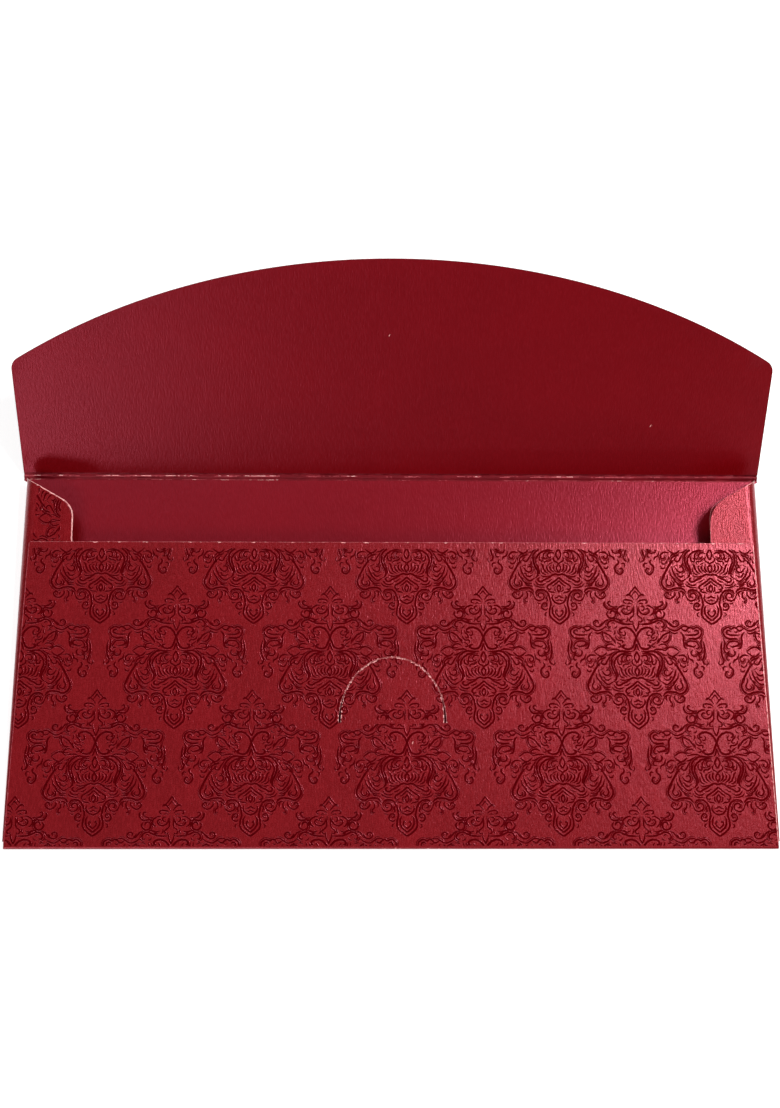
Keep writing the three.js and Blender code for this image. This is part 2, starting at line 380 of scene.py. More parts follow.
fold_growth = math.tan(pocket_tilt) / 2
fold_start = (TAB_CLEARANCE + CARD) / 2 - fold_growth * bottom_fold_y
fold_top = BODY_HEIGHT - TAB_TOP_GAP
fold_foot = bottom_fold_y + TAB_FOOT_GAP


def fold_radius(y):
    """Radius of the card's middle layer round a side fold."""
    return fold_start + fold_growth * y


def fold_centre_x(y):
    """A wider fold takes its half turn out of the panel's width."""
    return WIDTH / 2 - math.pi / 2 * fold_radius(y)


def fold_end_y(line_end, slope, angle):
    """Height at which a side fold's slanted cut crosses the line at an angle round it."""
    cut = slope * abs(angle)
    return (line_end - cut * fold_start) / (1 + cut * fold_growth)


panel_fold_top = fold_end_y(fold_top, TAB_END_SLOPE, math.pi / 2)
panel_fold_foot = fold_end_y(fold_foot, -TAB_END_SLOPE, math.pi / 2)


def back_seam(x, y):
    """Step that closes the hairline between the back panel and the fold at its edge there."""
    if y > BODY_HEIGHT - 2 * SEAM_GAP:
        return Vector((0, SEAM_GAP, 0))
    if y < bottom_fold_y + 2 * SEAM_GAP:
        return Vector((0, -SEAM_GAP, 0))
    return side_seam(x, y)


def side_seam(x, y):
    """The same along a side fold, for the back panel and the tabs."""
    at_fold = abs(x) > fold_centre_x(y) - 2 * SEAM_GAP
    if at_fold and panel_fold_foot - 0.01 < y < panel_fold_top + 0.01:
        return Vector((math.copysign(SEAM_GAP, x), 0, 0))
    return None


def tab_seam(x, y):
    """The same for a tab, on the pocket's plane."""
    return side_seam(x, bottom_fold_y + y * math.cos(pocket_tilt))


def root_seam(x, y):
    """The same at the root of the pocket panel or the flap."""
    return Vector((0, -SEAM_GAP, 0)) if y < 2 * SEAM_GAP else None


def pocket_seam(x, y):
    """The pocket panel also runs on into the tongue's root."""
    if abs(y - TONGUE_FOOT) < 0.01 and abs(x) < TONGUE_WIDTH / 2:
        return Vector((0, 0, 0))
    return root_seam(x, y)


def tongue_seam(x, y):
    """The same at the tongue's root."""
    return Vector((0, -SEAM_GAP, 0)) if y < TONGUE_FOOT + 2 * SEAM_GAP else None


def card_panel(node, name, panel, seam, faces, cell=4.0, reshape=None):
    """A node's plate as card: slightly wavy, with cut edges rounded by wear.

    The faces are the materials of its upper face, its lower face and its cut edges.
    """
    bm = bmesh.new()
    bm.from_mesh(nodes[node].data)
    bm.transform(panel.plane.inverted())
    bmesh.ops.remove_doubles(bm, verts=bm.verts, dist=1e-4)
    flat = math.radians(0.2)
    bmesh.ops.dissolve_limit(bm, angle_limit=flat, verts=bm.verts, edges=bm.edges)
    bm.normal_update()

    def on_seam(part):
        return all(seam(*vertex.co[:2]) is not None for vertex in part.verts)

    for face in bm.faces:
        if abs(face.normal.z) < 0.5:
            face.material_index = 0 if on_seam(face) else 2
        else:
            face.material_index = int(face.normal.z < 0)
    rim = [edge for edge in bm.edges if edge.calc_face_angle(0) > math.radians(40) and not on_seam(edge)]
    bmesh.ops.bevel(bm, geom=rim, offset=WORN_ROUND, segments=2, profile=0.6, affect="EDGES", material=2)
    cut_in_cells(bm, cell)
    for vertex in bm.verts:
        x, y, _ = vertex.co
        step = seam(x, y)
        if step:
            vertex.co += step
        if reshape:
            vertex.co.x = reshape(x, y)
        vertex.co.z += ripple_at(x, y, panel.wave)
    mesh = bpy.data.meshes.new(name)
    bm.to_mesh(mesh)
    bm.free()
    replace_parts(panel_piece(name, mesh, panel, faces, 10), node)


FOOT_PULL = 0.034  # share of its half width by which the tongue is narrower at its foot
PULL_HEIGHT = 9


def drawn_in_tongue(x, y):
    """The tongue's legs stand in a little, so that the slit gapes at its feet."""
    return x * (1 - FOOT_PULL * ramp_up(1 - (y - TONGUE_FOOT) / PULL_HEIGHT))


card_panel("back_panel", "back_card", BACK, back_seam, (SATIN, PEARL, SCUFFED))
card_panel("pocket_panel", "pocket_card", POCKET, pocket_seam, (PEARL, SATIN, SCUFFED))
card_panel(
    "tuck_tongue", "tongue_card", TONGUE, tongue_seam, (PEARL, SATIN, SCUFFED), FINE_CELL, drawn_in_tongue
)
# The flap's cut edges take the darker red card, painted shade.
card_panel("closure_flap", "flap_card", FLAP, root_seam, (SATIN, PEARL, CREASE_AND_EDGE_SHADE))
for side in ("left", "right"):
    card_panel(
        f"side_tab_{side}", f"tab_card_{side}", TAB, tab_seam, (TAB_PEARL, SATIN, SCUFFED), FINE_CELL
    )
    glue = nodes[f"glue_seam_{side}"].data
    glue.materials.clear()
    glue.materials.append(GLUE)


# Folds


def ring_mesh(name, rings):
    """Closed strip of mesh through rings of points that go round the same section."""
    size = len(rings[0])
    points = [point for ring in rings for point in ring]
    faces = [tuple(range(size)), tuple(range(len(points) - 1, len(points) - size - 1, -1))]
    for i in range(len(rings) - 1):
        for k in range(size):
            after = (k + 1) % size
            here, there = i * size, (i + 1) * size
            faces.append((here + k, there + k, there + after, here + after))
    mesh = bpy.data.meshes.new(name)
    mesh.from_pydata(points, [], faces)
    bm = bmesh.new()
    bm.from_mesh(mesh)
    bmesh.ops.recalc_face_normals(bm, faces=bm.faces)
    bm.to_mesh(mesh)
    bm.free()
    return mesh


def wear_at(x, stretches):
    """How worn a fold is at x, from 0 to 1, as bumps round (centre, half length) stretches."""
    return max(math.exp(-(((x - centre) / half) ** 2)) for centre, half in stretches)


SCORE_STRETCHES = ((-40, 30), (47, 15), (-88, 4))
SCORE_STEP = 0.5
BEND_ROOM = 0.5


def score_fold(name, plane, profile, start, worn):
    """Card across a score, bent about the hinge line where its outer faces meet.

    The profile gives (along, height over the inner face) points from the lower panel to the upper.
    The start is the hinge line's place across the spine.
    """
    steps = round(WIDTH / SCORE_STEP)
    half = WIDTH / 2 - 0.04
    low_end = profile[0][0]
    high_end = profile[-1][0]

    def bent(x, along, height):
        angle = spine_angle * ramp_up((along + BEND_ROOM) / (2 * BEND_ROOM))
        return Vector((x, 0, 0)) + Matrix.Rotation(angle, 3, "X") @ Vector((0, along, height))

    middle = [(0.08, 0.012), (0.05, 0), (-0.05, 0), (-0.08, 0.012)]
    ends = [(end, 0 if abs(end) > BEND_ROOM else 0.012) for end in (high_end, low_end)]
    underside = [ends[0], *middle, ends[1]]
    rings = []
    for i in range(steps + 1):
        x = -half + 2 * half * i / steps
        ring = []
        for along, rise in profile:
            wander = 0.05 * noise.noise(Vector((x * 0.4, start, 0))) * (abs(along) < BEND_ROOM)
            lump = 1 + 0.6 * noise.noise(Vector((x * 0.45, (start + along) * 2, 0)))
            ring.append(bent(x, along + wander, CARD + rise * lump))
        ring.extend(bent(x, along, height) for along, height in underside)
        rings.append(ring)
    mesh = ring_mesh(name, rings)
    size = len(rings[0])
    for face in mesh.polygons[2:]:
        k = (face.index - 2) % size
        x = -half + (face.index - 2) // size * SCORE_STEP
        flake = noise.noise(Vector((x * 0.2, k * 0.4, start)))
        flake += 0.5 * noise.noise(Vector((x * 1.1, k, start)))
        flake += 0.5 * wear_at(x, SCORE_STRETCHES)
        # The score's upper faces take the darker red card, painted shade of the crease.
        face.material_index = 0 if k < len(profile) - 1 else 2
        if k in worn and flake > 0.35:
            face.material_index = 1 if flake > 0.68 and k == worn[0] else 3
    piece = make_object(name, mesh, plane, (CREASE_AND_EDGE_SHADE, CORE, PEARL, SCUFFED), 50)
    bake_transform(piece)
    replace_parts(piece, "flap_spine")


spine_middle = spine_width / 2
body_score_profile = [
    (-0.5, -0.02), (-0.36, 0.01), (-0.24, 0.035), (-0.14, 0.02), (-0.04, -0.03), (0.08, -0.01),
    (0.22, 0.03), (0.38, 0.06), (0.52, 0.09), (spine_middle, 0.1),
]
flap_score_profile = [
    (-spine_middle, 0.1), (-0.5, 0.085), (-0.36, 0.05), (-0.26, 0.01), (-0.16, -0.09), (0.08, -0.1),
    (0.18, -0.02), (0.27, 0.04), (0.38, 0.02), (0.5, -0.02),
]
score_fold("body_score_fold", score_plane, body_score_profile, 0, (2,))
score_fold(
    "flap_score_fold", second_score_plane, flap_score_profile, spine_width, (1, 0)
)


def fold_point(side, y, angle, depth):
    """Point of a side fold's skin: depth 0 is its inner face and 1 its outer face."""
    middle = fold_radius(y)
    radius = middle + (depth - 0.5) * CARD
    across = fold_centre_x(y) + radius * math.cos(angle)
    return Vector((side * across, y, middle + CARD / 2 + radius * math.sin(angle)))


def side_fold(side, side_name):
    """Half-round fold that opens towards the mouth, in stretches that are separate pieces."""
    stretches = 12
    around = 14
    for j in range(stretches):
        ends = [fold_foot + (fold_top - fold_foot) * (j + part) / stretches for part in (0, 1)]
        rings = []
        for part in (0, 0.25, 0.5, 0.75, 0.97, 1):
            y_line = ends[0] + (ends[1] - ends[0]) * part
            ring = []
            for depth, direction in ((1, 1), (0, -1)):
                for i in range(around + 1):
                    angle = direction * math.pi * (i / around - 0.5)
                    low = fold_end_y(fold_foot, -TAB_END_SLOPE, angle)
                    high = fold_end_y(fold_top, TAB_END_SLOPE, angle)
                    y = max(low, min(high, y_line)) if 0 < j < stretches - 1 else y_line
                    if j == 0:
                        y = low + (ends[1] - low) * part
                    if j == stretches - 1:
                        y = ends[0] + (high - ends[0]) * part
                    ring.append(fold_point(side, y, angle, depth))
            rings.append(ring)
        name = f"side_fold_{side_name}_{j + 1}"
        mesh = ring_mesh(name, rings)
        if j == stretches - 1:
            rim_start = 2 + 4 * len(rings[0])
            for face in mesh.polygons[rim_start:rim_start + around]:
                face.material_index = 1
        piece = make_object(name, mesh, back_plane, (PEARL, CORE), 50)
        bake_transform(piece)
        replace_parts(piece, f"side_fold_{side_name}")


side_fold(-1, "left")
side_fold(1, "right")


def bottom_fold():
    """Half-round fold at the foot, with pale flecks where it has been handled."""
    half = WIDTH / 2 - FOOT_INSET
    steps = round(2 * half / SCORE_STEP)
    sweep = math.pi - pocket_tilt
    around = 12
    rings = []
    for i in range(steps + 1):
        x = -half + 2 * half * i / steps
        ring = []
        for radius, direction in ((pocket_face, 1), (pocket_underside, -1)):
            for k in range(around + 1):
                part = k / around if direction > 0 else 1 - k / around
                angle = 3 * math.pi / 2 - sweep * part
                dent = 0.02 * noise.noise(Vector((x * 0.4, k * 0.2, 5))) * math.sin(math.pi * part)
                reach = radius - abs(dent)
                y = bottom_fold_y + reach * math.cos(angle)
                ring.append((x, y, bottom_fold_y + reach * math.sin(angle)))
        rings.append(ring)
    mesh = ring_mesh("bottom_fold_card", rings)
    for face in mesh.polygons:
        k = (face.index - 2) % len(rings[0])
        x = -half + (face.index - 2) // len(rings[0]) * SCORE_STEP
        fleck = noise.noise(Vector((x * 1.1, k * 0.9, 7))) + 0.5 * noise.noise(Vector((x * 3.1, k, 8)))
        face.material_index = int(face.index > 1 and 5 <= k <= 9 and fleck > 0.62)
    piece = make_object("bottom_fold_card", mesh, back_plane, (PEARL, CORE), 50)
    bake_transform(piece)
    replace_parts(piece, "bottom_fold")


bottom_fold()


def tongue_root():
    """Strip of card along the tongue's root."""
    half = TONGUE_WIDTH / 2 - 0.45
    steps = 60
    rings = []
    for i in range(steps + 1):
        x = -half + 2 * half * i / steps
        face = pocket_face + ripple_at(x, TONGUE_FOOT, "pocket")
        skins = (
            (-0.7, -0.01), (-0.4, 0.003), (0, 0.004), (0.4, 0.003), (0.7, -0.01),
            (0.7, 0.01 - CARD), (0, -0.003 - CARD), (-0.7, 0.01 - CARD),
        )
        rings.append([(x, TONGUE_FOOT + along, face + height) for along, height in skins])
    mesh = ring_mesh("tongue_root_card", rings)
    piece = make_object("tongue_root_card", mesh, pocket_plane, (PEARL,), 60)
    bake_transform(piece)


tongue_root()


# Damask motif: strokes of the right half, from (0, 0) at its middle. The left half mirrors them.


def line(width, *numbers):
    """Stroke of that width through the points x, y, x, y and so on."""
    return width, list(zip(numbers[::2], numbers[1::2]))


BUD = [
    line(0.4, 0, 16.75, 0.55, 16, 1.1, 15.25, 1.85, 14.5),
    line(0.42, 0, 15.7, 0.4, 15.1, 0.85, 14.6),
    line(0.44, 0.25, 13.5, 0.7, 14.1, 1.2, 14.65, 1.8, 14.9, 2.2, 14.4),
    line(0.44, 0.45, 12.9, 0.9, 13.35, 1.4, 13.5, 2.1, 13.6, 2.75, 13.4, 2.7, 12.85, 2.2, 12.75),
    line(0.4, 0.8, 12.6, 1.4, 12.8, 1.9, 12.6),
    line(0.42, 0.35, 12.3, 0.5, 11.5, 0.42, 10.6, 0.5, 9.9, 0.95, 9.4, 1.5, 8.9, 1.3, 8.3, 0.75, 8.3),
]
HEART = [
    line(0.46, 0.75, 11.9, 0.8, 11, 1.3, 10.35, 2.1, 10.05, 2.9, 10.3, 3.25, 11, 2.8, 11.5, 2.3, 11.2),
    line(0.42, 1.2, 12, 1.8, 12, 2.1, 11.5, 1.7, 11, 1.3, 11.2),
    line(0.46, 2.4, 12.1, 3.1, 12.2, 3.7, 11.9, 4.3, 11.4, 4.3, 10.7, 3.9, 10.1, 3.4, 9.8),
    line(0.44, 1.9, 9.4, 1.9, 8.7, 2.3, 8.2),
]
HORNS = [
    line(0.46, 4.3, 12, 5.2, 11.8, 6.1, 12.1, 6.6, 12.7, 6.3, 13.2, 5.8, 12.9),
    line(0.52, 4.4, 11.2, 5.1, 11.5, 5.9, 11.3, 6.6, 11.3, 7.2, 11.8, 7.5, 12.6, 7.2, 13.2),
    line(0.5, 6.5, 10.9, 6.9, 10.2, 6.5, 9.4, 5.7, 9.1, 4.95, 9.5, 4.8, 10.3, 5.3, 10.9, 6, 10.7, 6.1, 10.1),
]
BANDS = [
    line(0.52, 2.6, 8.9, 3.5, 8.6, 4.3, 8.9, 5, 9.1),
    line(0.5, 0.7, 7.75, 1.5, 7.7, 2.5, 7.75, 3.5, 7.85, 4.3, 8.2, 5, 8.6, 5.8, 8.6, 6.5, 8.2, 6.8, 7.5,
         6.4, 7, 5.9, 7.2),
    line(0.4, 0.75, 8.6, 0.65, 7.8, 0.5, 7, 0, 6),
    line(0.44, 6.5, 9, 7.2, 8.6, 7.7, 7.9, 8.4, 7.3, 9.3, 7.1, 10, 7.5, 10.1, 8.2, 9.5, 8.6,
         8.9, 8.3, 9.1, 7.8),
    line(0.44, 7.1, 7.3, 7.9, 6.6, 8.8, 6.2, 9.7, 6.2, 10.5, 6.7, 11.2, 7.2, 12, 7.2, 12.8, 6.9),
    line(0.42, 6.3, 6.4, 6.9, 6.7, 7.4, 7.1),
    line(0.44, 5, 7.7, 5.4, 8.1, 5.9, 7.9),
    line(0.42, 4.5, 7.4, 4.8, 6.9, 5.4, 6.7),
    line(0.42, 8, 8.3, 8.2, 7.8, 8.7, 7.5),
    line(0.42, 7.9, 6, 8.6, 5.6, 9.3, 5.5, 9.9, 5.8),
    line(0.42, 2.9, 8.2, 3.5, 8.25, 4, 8.5),
]
LOOP = [
    line(0.58, 0, 4.5, 0.35, 5.4, 0.86, 6.15, 1.6, 6.7, 2.5, 6.95, 3.4, 6.8, 3.95, 6.35, 3.8, 5.8,
         3.3, 5.75),
    line(0.56, 0, 4.5, 0.35, 3.6, 0.6, 2.8, 1, 2.15, 1.7, 1.78, 2.5, 1.8, 3.1, 2.15, 3, 2.7, 2.5, 2.8),
    line(0.42, 3, 6.2, 2.55, 5.7, 2.7, 5.1, 3.2, 5, 3.4, 5.35),
    line(0.42, 4.5, 6.3, 4.3, 5.6, 3.8, 5.2, 3.6, 4.6, 4, 4.35, 4.35, 4.7),
    line(0.42, 5, 5, 4.8, 4.25, 4.2, 3.85, 3.6, 3.9, 3.2, 3.6, 3.4, 3.15),
    line(0.42, 4.7, 3.5, 4.1, 3.15, 3.7, 2.7, 3.95, 2.25, 4.5, 2.35),
    line(0.38, 3.3, 4.4, 2.85, 4.45, 2.6, 4.1),
    line(0.4, 5.2, 6.3, 5.05, 5.6, 5.4, 5.1),
    line(0.44, 0, 3.1, 0.3, 2.4, 0.4, 1.7, 0.8, 1.3),
    line(0.42, 4, 5.8, 4, 5.4),
    line(0.42, 5.4, 4.4, 5.1, 3.9, 5, 3.3),
    line(0.4, 3.1, 2.9, 3.4, 2.5, 3.4, 2),
]
LEAVES = [
    line(0.46, 4.9, 3, 5.5, 3.9, 6, 4.7, 6.8, 5.35, 7.9, 5.7, 7.95, 4.7, 7.5, 3.8, 6.7, 3.4, 5.9, 3.6),
    line(0.36, 6.2, 4, 6.8, 4.5, 7.3, 5),
    line(0.44, 5.2, 2.6, 6, 3, 6.8, 2.9, 7.3, 2.4, 6.8, 2, 6, 2.1),
    line(0.46, 3.9, 1.45, 4.6, 1.75, 5.4, 1.75, 6.2, 1.65, 7, 1.4),
    line(0.44, 4.9, 1.3, 5.7, 0.9, 6.4, 0.4, 7.2, 0.3),
    line(0.46, 6.9, 1.5, 7.4, 2.05, 8.1, 2.3, 8.8, 2.2, 9.5, 1.8, 10.2, 1.2),
    line(0.46, 10.2, 1.2, 9.4, 0.5, 8.6, 0.05, 7.8, 0.25, 7.1, 1),
    line(0.4, 5.8, 5.9, 6.5, 6.2, 7.2, 6.1),
]
FOUNTAIN = [
    line(0.54, 1, 1.25, 1.9, 1.1, 2.9, 1.25, 3.9, 1.3, 4.7, 1.05, 5.4, 0.5, 6, -0.3, 6.1, -1.3, 5.9, -2.4,
         5.5, -3.4, 5, -4.4, 5, -5.3, 5.6, -6),
    line(0.52, 1.3, 0.7, 2.4, 0.85, 3.4, 0.7, 4.3, 0.2, 5, -0.5, 5.4, -1.3, 5.4, -2.2, 5, -3.1, 4.7, -4,
         4.5, -5),
    line(0.44, 6.4, 0.1, 6.9, -0.6, 7.2, -1.4, 7.7, -1.9, 8.3, -1.7, 8.4, -1.1, 7.9, -0.9),
    line(0.44, 7.3, -0.2, 7.9, -0.5, 8.6, -0.6, 9.2, -1.1, 9.3, -1.9, 8.8, -2.3),
    line(0.42, 6.6, -1.7, 6.6, -2.5, 6.9, -3),
    line(0.44, 7.8, -2.6, 8.3, -2.9, 8.8, -3.2),
    line(0.42, 6.3, -0.9, 6.7, -1.4),
    line(0.42, 8.3, -0.2, 8.9, -0.1, 9.5, -0.5),
    line(0.42, 2, 0.45, 2.8, 0.45, 3.4, 0.2),
]
FLOWER = [
    line(0.46, 0, 1.2, 0.45, 0.4, 0.6, -0.3, 0.35, -1, 0, -1.5),
    line(0.44, 1, 0, 1.5, 0.3, 2.2, 0.2, 2.6, -0.3, 2.45, -0.9, 1.9, -1, 1.7, -0.5),
    line(0.44, 3, 0.3, 3.5, -0.1, 3.6, -0.8, 3.2, -1.3, 2.7, -1.2),
    line(0.44, 4.4, -0.4, 4.6, -1.1, 4.3, -1.8, 3.7, -1.8, 3.7, -1.2, 4.1, -0.9),
    line(0.42, 0.9, -0.6, 1.2, -1.2, 1, -1.8, 0.4, -2.1, 0, -2.5),
    line(0.42, 1.6, -1.4, 2.2, -1.8, 2.9, -1.8, 3.3, -2.2, 3.1, -2.6),
    line(0.42, 1.3, -2.1, 1.9, -2.3, 2.4, -2.7),
    line(0.48, 0, -2.6, 0.45, -3.2, 0.45, -3.9, 0, -4.7),
    line(0.48, 0.5, -4.5, 1, -4.1, 1.25, -3.5, 1.2, -2.8, 1, -2.4),
    line(0.48, 1, -4.6, 1.6, -4.2, 2, -3.6, 2, -3, 1.7, -2.8),
    line(0.48, 1.7, -4.8, 2.4, -4.3, 2.8, -3.6, 2.8, -3, 2.4, -2.9),
    line(0.48, 2.4, -4.9, 3.2, -4.4, 3.6, -3.6, 3.8, -2.8, 4.3, -2.3),
    line(0.42, 4.2, -3.3, 4.2, -4.1, 3.8, -4.8, 3, -5.1),
    line(0.42, 2.1, -5.3, 2.8, -5.6, 3.6, -5.6, 4.2, -5.3),
]
BOWL = [
    line(0.52, 0, -5.2, 0.8, -4.95, 1.6, -5.2, 2.5, -5.9, 3.4, -6.3, 4.1, -6.8, 4.8, -6.7, 5, -6.1,
         4.5, -5.8),
    line(0.48, 0, -5.8, 0.6, -6.3, 1.2, -6.9, 1.9, -7.3, 2.6, -7.7, 2.8, -8.3, 2.3, -8.7, 1.8, -8.4),
    line(0.44, 0, -6.6, 0.5, -7.1, 1.1, -7.6, 1.7, -7.9),
    line(0.44, 0, -7.5, 0.4, -8.1, 0.4, -8.7, 0, -9.4),
    line(0.44, 0.5, -9.3, 0.9, -8.9, 1, -8.3, 0.8, -7.9),
    line(0.44, 0.9, -9.6, 1.4, -9.3, 2, -9.3, 2.7, -8.9),
    line(0.44, 3.2, -7.2, 3.9, -7.6, 4.7, -7.6, 5.3, -7.2, 5.6, -6.6),
    line(0.42, 3.4, -8.2, 4.1, -8.2, 4.8, -8.1, 5.6, -7.8, 6.1, -7.2),
    line(0.42, 1.6, -6.2, 2.3, -6.7, 3.1, -6.9),
    line(0.42, 4.1, -6.2, 3.7, -5.9),
]
LOWER_SCROLLS = [
    line(0.52, 5.7, -9.6, 5.2, -8.9, 4.3, -8.7, 3.4, -8.9, 2.7, -9.5, 2.3, -10.3, 2.15, -11.2, 1.95, -12.1,
         2.2, -13.1, 2.4, -14, 2.3, -14.9, 1.8, -15.7, 0.9, -16.4, 0, -17),
    line(0.48, 1.5, -10, 1.7, -10.7, 1.4, -11.4, 0.8, -11.9, 0, -12.2),
    line(0.44, 0, -10.2, 0.5, -10.6, 1.1, -10.7),
    line(0.42, 0, -11.1, 0.5, -11.4, 0.9, -11.3),
    line(0.42, 2.6, -9.9, 3, -10.6, 2.9, -11.4),
    line(0.4, 4.3, -11.9, 4.9, -12.1, 5.2, -11.7),
    line(0.4, 2.9, -14.1, 3.4, -14.4, 3.4, -14.9, 3, -15.1),
    line(0.5, 1.2, -12.4, 1.6, -13.1, 1.65, -14, 1.35, -14.9, 0.7, -15.6, 0, -16.1),
    line(0.44, 0, -15.3, 0.6, -14.8, 0.9, -14.2, 0.7, -13.6, 0.35, -14),
    line(0.46, 6, -10.2, 5.6, -11, 4.8, -11.4, 3.9, -11.1, 3.5, -10.4, 3.8, -9.7, 4.5, -9.5, 5, -9.9,
         4.8, -10.5, 4.3, -10.5),
    line(0.46, 2.7, -13.2, 3.2, -13.6, 3.9, -13.4, 4.2, -12.8, 3.9, -12.1, 3.3, -11.9, 2.9, -12.3,
         3.2, -12.8, 3.6, -12.7),
    line(0.42, 2.8, -10.8, 2.8, -11.4, 3.2, -11.6),
]
LOWER_SIDE = [
    line(0.56, 8.6, -1.4, 9.4, -2.2, 10, -3.1, 10.5, -4.1, 11.1, -5, 11.5, -6, 11.75, -7, 11.4, -8,
         10.6, -8.7, 9.7, -8.8, 8.9, -8.4, 8, -8.3, 7.1, -8.3, 6.4, -8.7, 5.9, -9.4),
    line(0.48, 9.2, -3, 9, -4, 8.6, -5, 8, -5.9, 7.1, -6.6, 6.3, -6.4, 5.7, -5.9),
    line(0.46, 8.4, -3.3, 7.9, -4.1, 7.2, -4.5, 6.5, -4.2, 6.4, -3.5, 6.9, -3.1, 7.4, -3.4),
    line(0.44, 6.2, -5.1, 6.9, -5.6, 7.6, -5.4, 7.9, -4.8, 8.4, -4.9),
    line(0.44, 9.8, -3.9, 9.6, -4.9, 9.2, -5.6, 8.6, -6.2, 8.4, -6.9),
    line(0.42, 9.3, -6.4, 8.8, -7, 8.8, -7.7, 9.3, -8),
    line(0.42, 6.1, -7.9, 6.9, -7.8, 7.7, -7.7, 8.1, -7.2),
    line(0.42, 11.2, -6.3, 10.9, -5.7, 10.8, -5.1),
    line(0.4, 9.4, -9.4, 9.7, -9.9, 9.5, -10.2),
    line(0.42, 5.9, -10.3, 6.3, -9.5, 7, -9.1, 7.6, -9.2),
    line(0.44, 10.3, -5, 10.3, -6, 10.7, -6.8, 10.4, -7.6, 9.7, -7.7, 9.3, -7.2, 9.7, -6.8),
    line(0.44, 9.2, -5.7, 8.7, -6.4, 8, -7.1, 7.2, -7.4, 6.4, -7.2),
    line(0.46, 8.7, -9.1, 8.6, -9.8, 9.1, -10.5, 9.9, -10.9, 10.7, -10.6, 11.1, -9.9, 10.7, -9.4, 10.1, -9.6,
         10.1, -10.1),
    line(0.44, 7.9, -9, 7.5, -9.7, 7.6, -10.5, 8.1, -11, 8, -11.7, 7.5, -11.5),
    line(0.42, 6.9, -9.2, 6.6, -9.9, 6.9, -10.5),
]
SIDE_DROPS = [
    line(0.46, 9.7, 0.2, 10.4, 0.4, 11.2, 0.3, 11.8, -0.3, 11.7, -1, 11.1, -1.2, 10.8, -0.7, 11.1, -0.4),
    line(0.44, 10.1, -1.2, 10.3, -2, 10.9, -2.5, 11.5, -2.3, 11.6, -1.8),
    line(0.44, 11.9, -2.9, 11.6, -3.5, 11, -3.5, 10.8, -3.1),
    line(0.42, 9.9, -0.5, 9.9, -1.2, 9.6, -1.7),
    line(0.42, 12.2, -0.9, 12.1, -1.6, 11.9, -2.2),
]
WING = [
    line(0.52, 10.5, 5.9, 11, 5.4, 11.3, 4.6, 11.2, 3.7, 11.3, 2.8, 11.6, 2.1, 12.3, 1.9),
    line(0.48, 11.5, 5.2, 12.3, 5.15, 13.2, 5.1, 14.1, 5.2, 14.8, 5.6, 14.7, 6.2, 14.1, 6.3, 13.8, 5.9),
    line(0.48, 10.6, 6.8, 11.2, 6.3, 11.9, 6.2, 12.3, 6.7, 13, 7, 13.6, 6.6, 14.3, 7, 15, 6.8,
         15.6, 6.2, 15.5, 5.3, 15, 4.6, 14.3, 4.3, 13.3, 4.3, 12.3, 4.4),
    line(0.42, 12.1, 6.1, 12.5, 5.8, 12.9, 6.1),
    line(0.46, 14.2, 2.7, 13.6, 2.3, 12.9, 2.5, 12.2, 2.7, 12, 3.3, 12.5, 3.7, 13.3, 3.7, 14.1, 3.6,
         14.6, 3.1, 14.9, 2.4, 14.5, 1.9, 14, 2),
    line(0.5, 15.7, 4.4, 15.3, 3.6, 15.4, 2.7, 15.6, 1.8, 15.2, 1, 14.5, 1, 14.3, 1.5),
    line(0.52, 15.9, 3.7, 16.1, 2.7, 16.2, 1.8, 16.2, 0.9, 16, 0, 15.6, -0.8, 15.9, -1.6, 16.5, -1.9),
    line(0.44, 13.3, 1.6, 12.9, 1, 13.2, 0.3, 13.9, 0.1, 14.6, 0.3, 15, -0.2, 14.8, -0.8, 14.2, -0.7),
    line(0.46, 12, 0.8, 12.2, 0, 12.6, -0.6, 13.2, -0.9, 13.4, -1.6),
    line(0.5, 14, -1.4, 14.4, -1.9, 14.2, -2.5, 13.6, -3, 13.5, -3.8, 13.8, -4.5, 14.5, -5, 15.2, -4.7,
         15.4, -4, 15, -3.5, 14.5, -3.8),
    line(0.44, 15, -2.4, 15.6, -2.3, 15.9, -2.8, 15.7, -3.4),
    line(0.42, 16.7, -0.9, 16.9, -1.6, 16.5, -2.2),
]
HALF_MOTIF = [
    *BUD, *HEART, *HORNS, *BANDS, *LOOP, *LEAVES, *FOUNTAIN, *FLOWER, *BOWL, *LOWER_SCROLLS,
    *LOWER_SIDE, *SIDE_DROPS, *WING,
]

PRINT_PITCH_X = 36.3
PRINT_PITCH_Y = 24.65
PRINT_COLUMN = 3.4  # a motif's middle in the even rows
PRINT_ROW = 19.9  # and an even row's height above the bottom fold
INK_HEIGHT = 0.023
INK_SPREAD = 0.9  # how wide a stroke prints, as a share of its drawn width
STROKE_STEP = 0.16  # spacing of the points that a smooth stroke is chosen from
STROKE_TURN = math.radians(24)
STROKE_REACH = 1.2  # a point is kept after that turn or that distance
TIP_SHARE = 0.4  # width of a stroke's tip as a share of the stroke's
TIP_SLOPE = 0.9
ECHO_GAP = 0.22
ECHO_WIDTH = 0.2
ECHO_FROM = 3.4  # shorter strokes have no fine line beside them
INK_ROOT = 0.006
INK_SLOPE = 0.06  # width of the pearl slope on each side of a stroke
PRINT_MARGIN = 0.3  # bare card between the print and a fold
MOTIF_REACH = 18
PRINT_EDGE = 100  # beyond every panel's side
THIRD_X = 30  # where the print of a panel is parted in three


